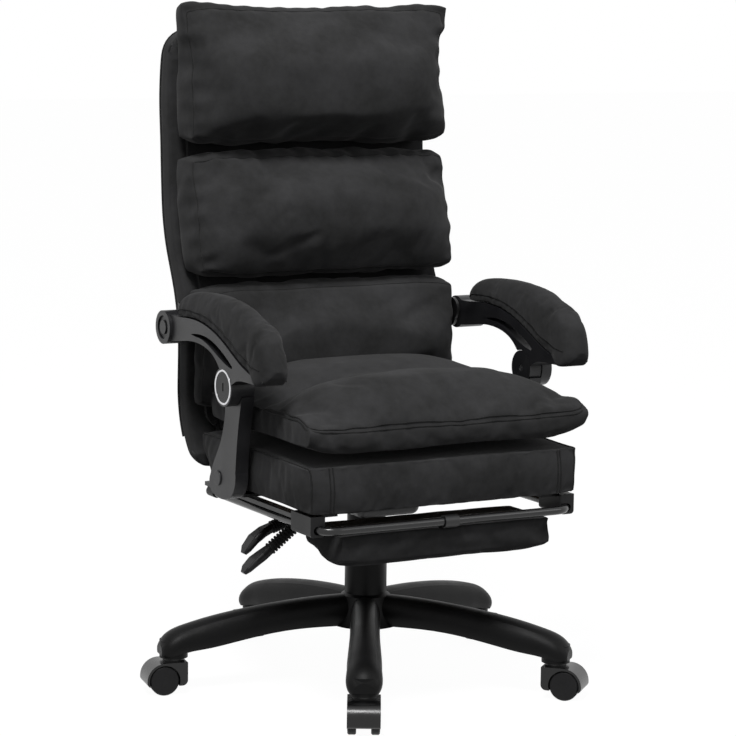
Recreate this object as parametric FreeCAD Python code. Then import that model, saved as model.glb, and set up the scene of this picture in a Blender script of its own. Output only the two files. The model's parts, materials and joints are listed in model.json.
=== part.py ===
import FreeCAD, Part
import math
import os

# Reclining office chair with a pull-out footrest. Millimetres, +Z up. The sitter faces -Y.
# The origin is on the floor, on the axis of the gas column.

V = FreeCAD.Vector
ORIGIN = V(0, 0, 0)
UP = V(0, 0, 1)
ACROSS = V(1, 0, 0)
SIDES = (-1, 1)

# Clearances
RUN_FIT = 0.1            # radial play of a pin or shaft that turns in its bore
SOFT_GAP = 0.3           # air between padding and what it lies against
SIDE_PLAY = 0.5          # air between plates that turn side by side

# Five-legged base
LEG_COUNT = 5
FIRST_LEG_DEG = 241.05   # direction of the leg that stands nearest the sitter's right knee
STEM_CIRCLE = 338.5      # radius of the circle on which the caster stems stand
LEG_WALL = 4.0
LEG_RIB = 3.0
HUB_TOP = 154.0
HUB_BOTTOM = 96.0
SOCKET_BOTTOM = 60.5
SOCKET_R = 24.0
STEM_R = 5.5
STEM_TOP = 98.0

# Casters
WHEEL_R = 25.0
WHEEL_WIDTH = 15.0
WHEEL_DOME = 1.0         # rise of the wheel's outer face from its rim to its hub
WHEEL_HUB_R = 9.0
TYRE_CHAMFER = 2.0
WHEEL_GAP = 24.0         # between the two wheels of one caster
WHEEL_TRAIL = 21.0       # from the stem axis to the axle
AXLE_R = 3.0
HOOD_AIR = 1.4           # between tyre and hood
HOOD_WALL = 4.0
NECK_R = 18.5
NECK_TOP = 59.6

# Gas column
COLUMN_R = 25.0
COLUMN_TOP = 262.0
COLUMN_WALL = 2.0
PISTON_R = 14.0
PISTON_BOTTOM = 140.0
PISTON_TOP = 338.0
LOWER_COVER_R = 36.0
LOWER_COVER_TOP = 252.0
UPPER_COVER_R = 33.0
UPPER_COVER_BOTTOM = 160.0
UPPER_COVER_TOP = 296.0
COVER_WALL = 2.0

# Seat
BOARD_BOTTOM = 350.0
BOARD_THICK = 12.0
BOARD_HALF = 222.0
BOARD_FRONT = -252.0
BOARD_REAR = 102.0
BOX_HALF = 250.0
BOX_FRONT = -276.0
BOX_TOP = 433.0
BOX_REAR = 148.0
BOX_REAR_BOTTOM = 106.0
TOPPER_HALF = 258.0
TOPPER_BOTTOM = 445.0
TOPPER_FRONT = -284.0
TOPPER_REAR = 92.0
TOPPER_SEAM = 490.0      # front welt
TOPPER_SIDE = 505.0      # side welt
TOPPER_CREST = 555.0

# Seat mechanism
MECH_HALF = 60.0
MECH_FRONT = -85.0
MECH_REAR = 95.0
MECH_BOTTOM = 298.0
MECH_PLATE = 4.0
MECH_HALF_PLATE = 95.0

# Footrest
TUBE_R = 7.0
TUBE_Z = 327.0
TUBE_X = 235.0
TUBE_FRONT = -281.0
TUBE_REAR = 125.0
TUBE_BEND_R = 32.0
RAIL_WIDTH = 18.0
RAIL_TOP = 343.0
RAIL_BOTTOM = 336.0
RAIL_WALL = 2.0
RAIL_REAR = 130.0
BLOCK_REAR = -198.0
BLOCK_FRONT = -266.0
BLOCK_WIDTH = 26.0
BLOCK_BOTTOM = 316.0
PAD_HALF = 190.0
PAD_FRONT = -278.0
PAD_REAR = -142.0
PAD_BOTTOM = 264.0
PAD_BOARD_THICK = 9.0

# Linkage of back and armrests, pivot centres as (Y, Z)
SEAT_PIVOT = (-10.0, 375.0)      # armrest post on the seat
POST_PIVOT = (-66.0, 535.0)      # armrest on its post
BACK_PIVOT = (156.0, 608.0)      # armrest on the back
RECLINE_PIVOT = (172.0, 395.0)   # back on the seat
HINGE_X = 205.0                  # inner face of the seat's hinge plate
HINGE_THICK = 6.0
HINGE_BOSS_R = 14.0
HINGE_PIN_R = 5.0
HINGE_SWING = 27.0               # room behind the pivot for the seat's plate as the back reclines

# Armrests
ARM_INNER = 263.5
ARM_OUTER = 306.5
POST_OUTER = 287.0
KNUCKLE_R = 28.5
KNUCKLE_OUTER = 312.0
POST_KNUCKLE_R = 30.0
DISC_R = 32.0
POST_PIN_R = 6.0
SEAT_PIN_R = 6.0
OPEN_PIVOT_PLAY = 3.2            # radial play of the back pin in the armrest
BACK_PIN_R = 5.0
ARM_PAD_HALF = 25.0
ARM_PAD_CENTRE = 285.0

# Back
BACK_HALF = 250.0
SHELL_HALF = 252.0
SHELL_THICK = 42.0
SHELL_EDGE_R = 13.0      # rounding all round its rear face
BACK_BOARD_THICK = 10.0
BACK_BOARD_HALF = 222.0
BACK_BOARD_BOTTOM = 425.0
BACK_BOARD_TOP = 1082.0
SHELL_BOTTOM = 363.0
SHELL_TOP = 1105.0


def save(name, *solids):
    """Write one sub-part, made of one or more separate solids."""
    shape = solids[0] if len(solids) == 1 else Part.makeCompound(list(solids))
    shape.exportStep(f"parts/{name}.step")


def outline(path, place):
    """Closed wire. A pair is a straight run to that point, four numbers are an arc through the
    first pair to the second, and a list of pairs is a smooth curve through them all."""
    edges = []
    last = place(*path[0])
    for step in path[1:]:
        if isinstance(step, list):
            curve = Part.BSplineCurve()
            curve.interpolate([last] + [place(*point) for point in step])
            edges.append(curve.toShape())
            last = place(*step[-1])
            continue
        end = place(*step[-2:])
        if len(step) == 4:
            edges.append(Part.Arc(last, place(*step[:2]), end).toShape())
        else:
            edges.append(Part.LineSegment(last, end).toShape())
        last = end
    first = place(*path[0])
    if first.distanceToPoint(last) > 1e-6:
        edges.append(Part.LineSegment(last, first).toShape())
    return Part.Wire(edges)


def side_plate(path, x_from, x_to):
    """Plate with an outline in the Y-Z plane, between two places along X."""
    wire = outline(path, lambda y, z: V(x_from, y, z))
    return Part.Face(wire).extrude(V(x_to - x_from, 0, 0))


def turned(path, axis_from=ORIGIN, axis=UP):
    """Solid of revolution of a closed (radius, height) outline about Z."""
    wire = outline(path, lambda r, z: V(r, 0, z))
    return Part.Face(wire).revolve(axis_from, axis, 360)


def box(x0, x1, y0, y1, z0, z1):
    return Part.makeBox(x1 - x0, y1 - y0, z1 - z0, V(x0, y0, z0))


def pin_x(radius, x0, x1, centre):
    """Cylinder along X, centred on a pivot given as (Y, Z)."""
    return Part.makeCylinder(radius, x1 - x0, V(x0, centre[0], centre[1]), ACROSS)


def mirrored(shape):
    return shape.mirror(ORIGIN, ACROSS)


def both_sides(shape):
    return [mirrored(shape), shape]


def loft(wires):
    return Part.makeLoft(wires, True, False)


def round_edges(shape, radius, choose):
    """Fillet the edges for which choose(edge) is true."""
    return shape.makeFillet(radius, [edge for edge in shape.Edges if choose(edge)])


# Base

LEG_STATIONS = (
    # distance from the column axis, half width, top, bottom
    (20.0, 24.0, 152.0, 101.0),
    (117.0, 24.5, 148.0, 100.0),
    (205.0, 25.5, 138.0, 90.0),
    (293.0, 28.0, 121.5, 75.0),
    (338.5, 29.0, 108.0, 67.0),
    (355.0, 25.5, 97.0, 64.0),
    (363.0, 17.0, 84.0, 66.0),
)


def leg_section(distance, half, top, bottom):
    """Rounded moulded section, a little narrower at the open underside."""
    shoulder = top - 0.24 * half
    belly = bottom + 0.5 * (top - bottom)
    path = [
        (-0.88 * half, bottom),
        (-half, belly, -0.66 * half, shoulder),
        (0.0, top, 0.66 * half, shoulder),
        (half, belly, 0.88 * half, bottom),
    ]
    return outline(path, lambda u, z: V(distance, u, z))


def leg_cavity():
    """Hollow of the underside, crossed by stiffening ribs."""
    inner = []
    for distance, half, top, bottom in LEG_STATIONS[:4]:
        reach = max(distance, 66.0)
        low = 0.88 * half - LEG_WALL
        high = 0.62 * half - LEG_WALL
        roof = top - 0.2 * half - LEG_WALL
        inner.append(outline([(-low, bottom - 1), (-high, roof), (high, roof), (low, bottom - 1), (-low, bottom - 1)],
                             lambda u, z, x=reach: V(x, u, z)))
    hollow = Part.makeLoft(inner, True, True)
    ribs = [box(60, 300, -LEG_RIB / 2, LEG_RIB / 2, HUB_BOTTOM - 40, HUB_TOP)]
    for place in (118.0, 168.0, 218.0, 262.0):
        ribs.append(box(place, place + LEG_RIB, -40, 40, HUB_BOTTOM - 40, HUB_TOP))
    return hollow.cut(Part.makeCompound(ribs))


def star_base():
    leg = loft([leg_section(*station) for station in LEG_STATIONS])
    leg = leg.cut(leg_cavity())
    socket = Part.makeCylinder(SOCKET_R, 30, V(STEM_CIRCLE, 0, SOCKET_BOTTOM))
    leg = leg.fuse(socket)
    leg = leg.cut(Part.makeCylinder(STEM_R, STEM_TOP - SOCKET_BOTTOM, V(STEM_CIRCLE, 0, SOCKET_BOTTOM)))
    hub = turned([
        (0, HUB_BOTTOM),
        (46, HUB_BOTTOM),
        (60, HUB_BOTTOM + 4),
        (46, 126, 42, HUB_TOP - 4),
        (LOWER_COVER_R, HUB_TOP),
        (0, HUB_TOP),
    ])
    base = hub
    for index in range(LEG_COUNT):
        base = base.fuse(turned_to_leg(leg, index))
    bore = Part.makeCylinder(COLUMN_R, HUB_TOP - HUB_BOTTOM + 2, V(0, 0, HUB_BOTTOM - 1))
    return base.cut(bore)


def turned_to_leg(shape, index):
    """Copy of a shape that was made on the +X side, on the leg with this number."""
    copy = shape.copy()
    copy.rotate(ORIGIN, UP, FIRST_LEG_DEG + index * 360.0 / LEG_COUNT)
    return copy


# Casters, made with the stem on the Z axis at STEM_CIRCLE and the wheels trailing outwards

def caster_stem():
    shaft = Part.makeCylinder(STEM_R, STEM_TOP - 36.0, V(STEM_CIRCLE, 0, 36.0))
    flange = Part.makeCylinder(9.0, SOCKET_BOTTOM - NECK_TOP - 0.2, V(STEM_CIRCLE, 0, NECK_TOP + 0.2))
    return shaft.fuse(flange)


def caster_hood():
    axle_x = STEM_CIRCLE + WHEEL_TRAIL
    outer = WHEEL_R + HOOD_AIR + HOOD_WALL
    half = WHEEL_GAP / 2 + WHEEL_WIDTH
    web_half = WHEEL_GAP / 2 - SIDE_PLAY
    slant = outer * math.sqrt(0.5)
    front = STEM_CIRCLE - NECK_R
    path = [
        (front, WHEEL_R + outer),
        (front, WHEEL_R + 1),
        (front + 2.5, WHEEL_R - 6, front + 9, WHEEL_R - 9),
        (axle_x + outer - 9, WHEEL_R - 10),
        (axle_x + outer - 2, WHEEL_R - 7, axle_x + outer, WHEEL_R),
        (axle_x + slant, WHEEL_R + slant, axle_x, WHEEL_R + outer),
    ]
    wire = outline(path, lambda x, z: V(x, -half, z))
    body = Part.Face(wire).extrude(V(0, 2 * half, 0))
    neck = Part.makeCylinder(NECK_R, NECK_TOP - WHEEL_R - outer + 3, V(STEM_CIRCLE, 0, WHEEL_R + outer - 3))
    body = body.fuse(neck)
    for side in SIDES:
        start = V(axle_x, side * web_half, WHEEL_R)
        body = body.cut(Part.makeCylinder(WHEEL_R + HOOD_AIR, half, start, V(0, side, 0)))
    body = body.cut(Part.makeCylinder(STEM_R + RUN_FIT, 30, V(STEM_CIRCLE, 0, 35.5)))
    return body.cut(Part.makeCylinder(AXLE_R + RUN_FIT, 2 * half, V(axle_x, -half, WHEEL_R), V(0, 1, 0)))


def caster_wheel(side):
    """Solid nylon wheel with a coned outer face and a flat hub, made about Z and laid on its axle."""
    blind = WHEEL_WIDTH - 3.0
    profile = [
        (AXLE_R, 0),
        (WHEEL_R - TYRE_CHAMFER, 0),
        (WHEEL_R, TYRE_CHAMFER),
        (WHEEL_R, WHEEL_WIDTH - WHEEL_DOME - TYRE_CHAMFER),
        (WHEEL_R - TYRE_CHAMFER, WHEEL_WIDTH - WHEEL_DOME),
        (WHEEL_HUB_R, WHEEL_WIDTH),
        (0, WHEEL_WIDTH),
        (0, blind),
        (AXLE_R, blind),
    ]
    wheel = turned(profile)
    wheel.rotate(ORIGIN, ACROSS, -90 * side)
    wheel.translate(V(STEM_CIRCLE + WHEEL_TRAIL, side * WHEEL_GAP / 2, WHEEL_R))
    return wheel


def caster_axle():
    reach = WHEEL_GAP / 2 + WHEEL_WIDTH - 3.0
    return Part.makeCylinder(AXLE_R, 2 * reach, V(STEM_CIRCLE + WHEEL_TRAIL, -reach, WHEEL_R), V(0, 1, 0))


# Gas column

def tube(radius, wall, bottom, top):
    return turned([(radius - wall, bottom), (radius, bottom), (radius, top), (radius - wall, top)])


def column_tube():
    body = Part.makeCylinder(COLUMN_R, COLUMN_TOP - HUB_BOTTOM, V(0, 0, HUB_BOTTOM))
    return body.cut(Part.makeCylinder(PISTON_R + RUN_FIT, COLUMN_TOP, V(0, 0, HUB_BOTTOM + 12)))


def upper_cover():
    ring = tube(UPPER_COVER_R, COVER_WALL, UPPER_COVER_BOTTOM, UPPER_COVER_TOP)
    lid_bottom = UPPER_COVER_TOP - 2 * COVER_WALL
    lid = turned([
        (PISTON_R, lid_bottom),
        (UPPER_COVER_R - COVER_WALL, lid_bottom),
        (UPPER_COVER_R - COVER_WALL, UPPER_COVER_TOP),
        (PISTON_R, UPPER_COVER_TOP),
    ])
    return ring.fuse(lid)


# Seat mechanism

def mechanism():
    """Pressed steel plate under the seat board, with the column socket and the lever bearings."""
    plate = box(-MECH_HALF_PLATE, MECH_HALF_PLATE, MECH_FRONT - 30, MECH_REAR + 4,
                BOARD_BOTTOM - MECH_PLATE, BOARD_BOTTOM)
    plate = round_edges(plate, 18, lambda e: e.Length < MECH_PLATE + 0.1)
    pan = box(-MECH_HALF, MECH_HALF, MECH_FRONT, MECH_REAR, MECH_BOTTOM, BOARD_BOTTOM - MECH_PLATE)
    pan = round_edges(pan, 14, lambda e: e.BoundBox.ZMax < MECH_BOTTOM + 0.1
                      or e.BoundBox.ZLength > 20)
    inside = box(-MECH_HALF + 3, MECH_HALF - 3, MECH_FRONT + 3, MECH_REAR - 3,
                 MECH_BOTTOM + 3, BOARD_BOTTOM - MECH_PLATE)
    inside = round_edges(inside, 11, lambda e: e.BoundBox.ZMax < MECH_BOTTOM + 3.1
                         or e.BoundBox.ZLength > 20)
    socket = Part.makeCylinder(PISTON_R + 5, BOARD_BOTTOM - MECH_PLATE - MECH_BOTTOM, V(0, 0, MECH_BOTTOM))
    body = pan.cut(inside).fuse(socket).fuse(plate)
    body = body.cut(Part.makeCylinder(PISTON_R + RUN_FIT, PISTON_TOP + 1 - MECH_BOTTOM + 10,
                                      V(0, 0, MECH_BOTTOM - 10)))
    for lever in (HEIGHT_LEVER, RECLINE_LEVER):
        body = body.cut(lever_slot(lever))
    x, z = LEVER_PIVOT
    pin = Part.makeCylinder(LEVER_PIN_R, MECH_REAR - MECH_FRONT - 2, V(x, MECH_FRONT + 1, z), V(0, 1, 0))
    return body.fuse(pin)


# Levers. Each is given by the Y of its plane and by (X, Z) places: the knee of its rod, the two ends
# of its rubber sleeve and the stations of its grip (X, Z, half width, half thickness).

LEVER_PIVOT = (-40.0, 322.0)
LEVER_PIN_R = 4.0
LEVER_EYE_R = 8.0
LEVER_EYE_HALF = 6.0
ROD_R = 4.0
SLEEVE_ROOT_R = 8.0
SLEEVE_RIB_R = 11.0
SLEEVE_RIBS = 9
LEVER_SLOT = 11.0

HEIGHT_LEVER = {
    "plane": -28.0,
    "knee": (-110.0, 313.9),
    "sleeve": ((-155.0, 300.0), (-197.0, 287.0)),
    "grip": ((-197.0, 287.0, 9.0, 8.0), (-213.0, 281.0, 13.0, 7.5), (-230.0, 270.0, 15.0, 6.5),
             (-243.0, 255.0, 13.0, 5.0), (-248.0, 247.0, 7.0, 3.0)),
}
RECLINE_LEVER = {
    "plane": -62.0,
    "knee": (-137.0, 318.0),
    "sleeve": ((-173.0, 291.0), (-217.0, 258.0)),
    "grip": ((-217.0, 258.0, 9.0, 8.0), (-231.0, 249.0, 13.0, 7.5), (-246.0, 240.0, 15.0, 6.5),
             (-259.0, 229.0, 13.0, 5.0), (-265.0, 222.0, 7.0, 3.0)),
}


def lever_slot(lever):
    """Slot in the pan's side wall, tall enough for the rod's travel."""
    y = lever["plane"]
    z = LEVER_PIVOT[1]
    return box(-MECH_HALF - 5, -MECH_HALF + 8, y - LEVER_SLOT / 2, y + LEVER_SLOT / 2, z - 9, z + 8)


def lever_rod(lever):
    """Steel rod from the eye on its cross pin to the grip, bent once at the knee."""
    y = lever["plane"]
    spots = [V(x, y, z) for x, z in (LEVER_PIVOT, lever["knee"], lever["sleeve"][1])]
    rod = Part.makeSphere(ROD_R, spots[1])
    for start, end in zip(spots, spots[1:]):
        rod = rod.fuse(Part.makeCylinder(ROD_R, start.distanceToPoint(end), start, end.sub(start)))
    eye = Part.makeCylinder(LEVER_EYE_R, 2 * LEVER_EYE_HALF, spots[0].add(V(0, -LEVER_EYE_HALF, 0)), V(0, 1, 0))
    bore = Part.makeCylinder(LEVER_PIN_R + RUN_FIT, 40, spots[0].add(V(0, -20, 0)), V(0, 1, 0))
    return rod.fuse(eye).cut(bore)


def lever_sleeve(lever):
    """Ribbed rubber sleeve on the rod: four circles for each rib, made on the X axis."""
    (x0, z0), (x1, z1) = lever["sleeve"]
    length = math.hypot(x1 - x0, z1 - z0)
    pitch = length / SLEEVE_RIBS
    wires = []
    for index in range(SLEEVE_RIBS):
        for share, radius in ((0.0, SLEEVE_ROOT_R), (0.3, SLEEVE_ROOT_R),
                              (0.5, SLEEVE_RIB_R), (0.8, SLEEVE_RIB_R)):
            circle = Part.makeCircle(radius, V((index + share) * pitch, 0, 0), ACROSS)
            wires.append(Part.Wire([circle]))
    wires.append(Part.Wire([Part.makeCircle(SLEEVE_ROOT_R, V(length, 0, 0), ACROSS)]))
    sleeve = Part.makeLoft(wires, True, True)
    sleeve = sleeve.cut(Part.makeCylinder(ROD_R, length + 2, V(-1, 0, 0), ACROSS))
    slope = math.degrees(math.atan2(z1 - z0, x1 - x0))
    sleeve.rotate(ORIGIN, V(0, 1, 0), -slope)
    sleeve.translate(V(x0, lever["plane"], z0))
    return sleeve


def lever_grip(lever):
    """Flat moulded grip that follows the sleeve, widens and turns down to its rounded tip."""
    stations = lever["grip"]
    (x0, z0), (x1, z1) = lever["sleeve"]
    wires = []
    last = (x1 - x0, z1 - z0)
    for index, (x, z, half_width, half_thick) in enumerate(stations):
        if index:
            last = (x - stations[index - 1][0], z - stations[index - 1][1])
        run = math.hypot(*last)
        side = (-last[1] / run, last[0] / run)
        edge = half_width - 0.6 * half_thick
        wires.append(outline([
            (-edge, -half_thick),
            (-half_width, 0, -edge, half_thick),
            (edge, half_thick),
            (half_width, 0, edge, -half_thick),
            (-edge, -half_thick),
        ], lambda u, w, x=x, z=z, sx=side[0], sz=side[1]: V(x - w * sx, lever["plane"] + u, z - w * sz)))
    return Part.makeLoft(wires, True, True)


# Seat cushions

def drawn_in(path, middle, scale):
    """Outline pulled towards its middle, for the rounded ends of a cushion."""
    pulled = []
    for step in path:
        if isinstance(step, list):
            pulled.append(drawn_in(step, middle, scale))
        else:
            pulled.append(tuple(middle[index % 2] + (value - middle[index % 2]) * scale
                                for index, value in enumerate(step)))
    return pulled


def cushion(half, path_at):
    """Loft across X through outlines on each side of the middle; path_at gives the one at a share
    of the half width, where 0 is the middle and 1 is the end."""
    shares = (0.0, 0.6, 0.9, 1.0)
    wires = []
    for share in [-share for share in shares[:0:-1]] + list(shares):
        wires.append(outline(path_at(abs(share)), lambda y, z, x=share * half: V(x, y, z)))
    return loft(wires)


def seat_board():
    board = box(-BOARD_HALF, BOARD_HALF, BOARD_FRONT, BOARD_REAR, BOARD_BOTTOM, BOARD_BOTTOM + BOARD_THICK)
    return round_edges(board, 25, lambda e: e.BoundBox.ZLength > BOARD_THICK - 0.1)


def seat_box_cushion():
    """Upholstered box round the board, with drawn-in sides and a rear that slopes to the board."""
    middle = (-65.0, 0.5 * (BOARD_BOTTOM + BOX_TOP))
    crown = TOPPER_BOTTOM - SOFT_GAP - BOX_TOP

    def path_at(share):
        swell = 1 - share ** 4
        belly = BOX_FRONT - 1 - 3 * swell
        path = [
            (BOX_FRONT, BOARD_BOTTOM),
            (BOX_REAR_BOTTOM, BOARD_BOTTOM),
            (BOX_REAR_BOTTOM + 16, middle[1] - 11),
            (BOX_REAR - 3, middle[1] + 17, BOX_REAR, BOX_TOP - 8),
            (BOX_REAR - 10, BOX_TOP - 2),
            (-60, BOX_TOP + crown * swell, BOX_FRONT + 4, BOX_TOP - 3),
            (belly, middle[1], BOX_FRONT, BOARD_BOTTOM),
        ]
        return drawn_in(path, middle, 1 - 0.05 * share ** 10)

    room = box(-BOARD_HALF - SOFT_GAP, BOARD_HALF + SOFT_GAP, BOARD_FRONT - SOFT_GAP,
               BOARD_REAR + SOFT_GAP, BOARD_BOTTOM - 20, BOARD_BOTTOM + BOARD_THICK + SOFT_GAP)
    return cushion(BOX_HALF, path_at).cut(room)


def seat_top_cushion():
    """Loose topper: a front bolster, a sewn channel and a rear field, crowned over a flat bottom."""
    def path_at(share):
        swell = 1 - share ** 4
        corner = share ** 8
        front = TOPPER_FRONT + 8 * corner
        bottom = TOPPER_BOTTOM + 14 * corner
        return [
            (front + 8, bottom),
            (front - 3, bottom + 22, front, TOPPER_SEAM),
            [
                (-240, TOPPER_SIDE + 24 * swell),
                (-190, TOPPER_SIDE + 2 + (TOPPER_CREST - TOPPER_SIDE - 2) * swell),
                (-130, TOPPER_SIDE + 34 * swell),
                (-88, TOPPER_SIDE + 25 * swell),
                (-40, TOPPER_SIDE + 36 * swell),
                (10, TOPPER_SIDE + 42 * swell),
                (TOPPER_REAR - 6, TOPPER_SIDE + 18 * swell),
            ],
            (TOPPER_REAR, TOPPER_BOTTOM + 34, TOPPER_REAR - 10, bottom),
        ]

    return cushion(TOPPER_HALF, path_at)


# Footrest

def footrest_tube(radius):
    """One bent tube: two slides along Y and the front bar, with round bends."""
    inner = TUBE_X - TUBE_BEND_R
    bend = TUBE_FRONT + TUBE_BEND_R
    slant = TUBE_BEND_R * math.sqrt(0.5)

    def spot(x, y):
        return V(x, y, TUBE_Z)

    edges = [
        Part.LineSegment(spot(-TUBE_X, TUBE_REAR), spot(-TUBE_X, bend)).toShape(),
        Part.Arc(spot(-TUBE_X, bend), spot(-inner - slant, bend - slant), spot(-inner, TUBE_FRONT)).toShape(),
        Part.LineSegment(spot(-inner, TUBE_FRONT), spot(inner, TUBE_FRONT)).toShape(),
        Part.Arc(spot(inner, TUBE_FRONT), spot(inner + slant, bend - slant), spot(TUBE_X, bend)).toShape(),
        Part.LineSegment(spot(TUBE_X, bend), spot(TUBE_X, TUBE_REAR)).toShape(),
    ]
    section = Part.Wire([Part.makeCircle(radius, spot(-TUBE_X, TUBE_REAR), V(0, -1, 0))])
    return Part.Wire(edges).makePipeShell([section], True, False)


def rail():
    """Inverted channel above the slide tube."""
    half = RAIL_WIDTH / 2
    place = lambda x, z: V(TUBE_X + x, BLOCK_REAR, z)
    wire = outline([
        (-half, RAIL_BOTTOM),
        (-half, RAIL_TOP),
        (half, RAIL_TOP),
        (half, RAIL_BOTTOM),
        (half - RAIL_WALL, RAIL_BOTTOM),
        (half - RAIL_WALL, RAIL_TOP - RAIL_WALL),
        (-half + RAIL_WALL, RAIL_TOP - RAIL_WALL),
        (-half + RAIL_WALL, RAIL_BOTTOM),
    ], place)
    return Part.Face(wire).extrude(V(0, RAIL_REAR - BLOCK_REAR, 0))


def guide_block():
    """Moulded front guide that carries the slide tube, with room for the tube's bend."""
    half = BLOCK_WIDTH / 2
    block = box(TUBE_X - half, TUBE_X + half, BLOCK_FRONT, BLOCK_REAR, BLOCK_BOTTOM, BOARD_BOTTOM - SOFT_GAP)
    block = round_edges(block, 6, lambda e: e.BoundBox.YLength > 20 and e.BoundBox.ZMax < BLOCK_BOTTOM + 1)
    tongue = box(BOARD_HALF - 30, TUBE_X, BLOCK_FRONT + 14, BLOCK_REAR - 8, RAIL_TOP + 2, BOARD_BOTTOM)
    over = box(BOARD_HALF, TUBE_X, BLOCK_FRONT, BLOCK_REAR, BOARD_BOTTOM - SOFT_GAP, BOARD_BOTTOM)
    bore = Part.makeCylinder(TUBE_R + RUN_FIT, 200, V(TUBE_X, BLOCK_FRONT - 10, TUBE_Z), V(0, 1, 0))
    bend = footrest_tube(TUBE_R + SIDE_PLAY)
    bend = bend.common(box(0, TUBE_X + 20, TUBE_FRONT - 20, TUBE_FRONT + TUBE_BEND_R, 0, BOARD_BOTTOM))
    return block.fuse(tongue.cut(over)).cut(bore).cut(bend)


def rear_hanger():
    """Steel strap from the board to the rail's web."""
    inner = HINGE_X + HINGE_THICK + 1.5
    strap = box(inner, TUBE_X + RAIL_WIDTH / 2, 72, 100, RAIL_TOP, RAIL_TOP + 3)
    return strap.fuse(box(inner, BOARD_HALF, 72, 100, RAIL_TOP, BOARD_BOTTOM))


def footrest_slider():
    """Nylon foot on the tube's end that runs inside the rail."""
    half = RAIL_WIDTH / 2 - RAIL_WALL - SIDE_PLAY
    foot = box(TUBE_X - half, TUBE_X + half, TUBE_REAR - 25, TUBE_REAR, TUBE_Z, RAIL_TOP - RAIL_WALL - SIDE_PLAY)
    collar = Part.makeCylinder(TUBE_R + 2, 25, V(TUBE_X, TUBE_REAR - 25, TUBE_Z), V(0, 1, 0))
    bore = Part.makeCylinder(TUBE_R, 40, V(TUBE_X, TUBE_REAR - 30, TUBE_Z), V(0, 1, 0))
    return foot.fuse(collar).cut(bore)


def footrest_board():
    top = TUBE_Z - TUBE_R - 4.0
    board = box(-PAD_HALF + 14, PAD_HALF - 14, PAD_FRONT + 12, PAD_REAR - 16, top - PAD_BOARD_THICK, top)
    return round_edges(board, 15, lambda e: e.BoundBox.ZLength > PAD_BOARD_THICK - 0.1)


def footrest_pad():
    """Wedge-shaped pad that hangs behind the bar when it is put away."""
    top = TUBE_Z - TUBE_R - 0.8
    middle = (-215.0, 0.5 * (top + PAD_BOTTOM))

    def path_at(share):
        swell = 1 - share ** 4
        path = [
            (PAD_FRONT + 1, top - 2),
            (PAD_FRONT, middle[1], PAD_FRONT + 2, PAD_BOTTOM + 3),
            [(-250, PAD_BOTTOM - 2 * swell), (-205, PAD_BOTTOM + 5), (-168, PAD_BOTTOM + 18)],
            (PAD_REAR, PAD_BOTTOM + 34, PAD_REAR - 2, top - 2),
        ]
        return drawn_in(path, middle, 1 - 0.06 * share ** 10)

    board_top = TUBE_Z - TUBE_R - 4.0
    room = box(-PAD_HALF + 14 - SOFT_GAP, PAD_HALF - 14 + SOFT_GAP, PAD_FRONT + 12 - SOFT_GAP,
               PAD_REAR - 16 + SOFT_GAP, board_top - PAD_BOARD_THICK - SOFT_GAP, board_top + SOFT_GAP)
    clip_room = box(-16, 16, PAD_FRONT - 10, -225, board_top - 1, top + 5)
    return cushion(PAD_HALF, path_at).cut(room).cut(clip_room)


def footrest_clip():
    """Steel clip round the front bar, with a tongue screwed to the pad's board."""
    ring = pin_x(TUBE_R + 3, -13, 13, (TUBE_FRONT, TUBE_Z))
    tongue = box(-13, 13, TUBE_FRONT, -230, TUBE_Z - TUBE_R - 4.0, TUBE_Z - TUBE_R - 1.0)
    return ring.fuse(tongue).cut(pin_x(TUBE_R + RUN_FIT, -20, 20, (TUBE_FRONT, TUBE_Z)))


# Brackets of the linkage

def seat_arm_bracket():
    """Angle under the board's edge, with an ear that carries the armrest post."""
    y, z = SEAT_PIVOT
    ear_inner = BOX_HALF + 1.5
    ear = side_plate([
        (y - 34, BOARD_BOTTOM - 5),
        (y + 34, BOARD_BOTTOM - 5),
        (y + 18, z + 12),
        (y, z + 22, y - 18, z + 12),
    ], ear_inner, ear_inner + 5)
    foot = box(BOARD_HALF - 30, ear_inner + 5, y - 34, y + 34, BOARD_BOTTOM - 5, BOARD_BOTTOM - SOFT_GAP)
    seat = box(BOARD_HALF - 30, BOARD_HALF, y - 34, y + 34, BOARD_BOTTOM - 5, BOARD_BOTTOM)
    spacer = pin_x(14, ear_inner + 5, ARM_INNER - SIDE_PLAY, SEAT_PIVOT)
    pin = pin_x(SEAT_PIN_R, ear_inner + 5, POST_OUTER - 2, SEAT_PIVOT)
    return ear.fuse(foot).fuse(seat).fuse(spacer).fuse(pin)


def seat_hinge_plate():
    """Plate under the board that rises behind the seat to the recline hinge, with its pin."""
    y, z = RECLINE_PIVOT
    plate = side_plate([
        (40, BOARD_BOTTOM - 12),
        (y - 40, BOARD_BOTTOM - 16),
        (y - 10, BOARD_BOTTOM - 6, y + 12, z - 8),
        (y + HINGE_BOSS_R, z),
        (y, z + HINGE_BOSS_R, y - HINGE_BOSS_R, z),
        (BOX_REAR_BOTTOM + 12, BOARD_BOTTOM - 1),
        (BOX_REAR_BOTTOM, BOARD_BOTTOM - SOFT_GAP),
        (BOARD_REAR, BOARD_BOTTOM - SOFT_GAP),
        (BOARD_REAR, BOARD_BOTTOM),
        (40, BOARD_BOTTOM),
    ], HINGE_X, HINGE_X + HINGE_THICK)
    pin = pin_x(HINGE_PIN_R, HINGE_X - SIDE_PLAY - HINGE_THICK, HINGE_X, RECLINE_PIVOT)
    return plate.fuse(pin)


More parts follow.
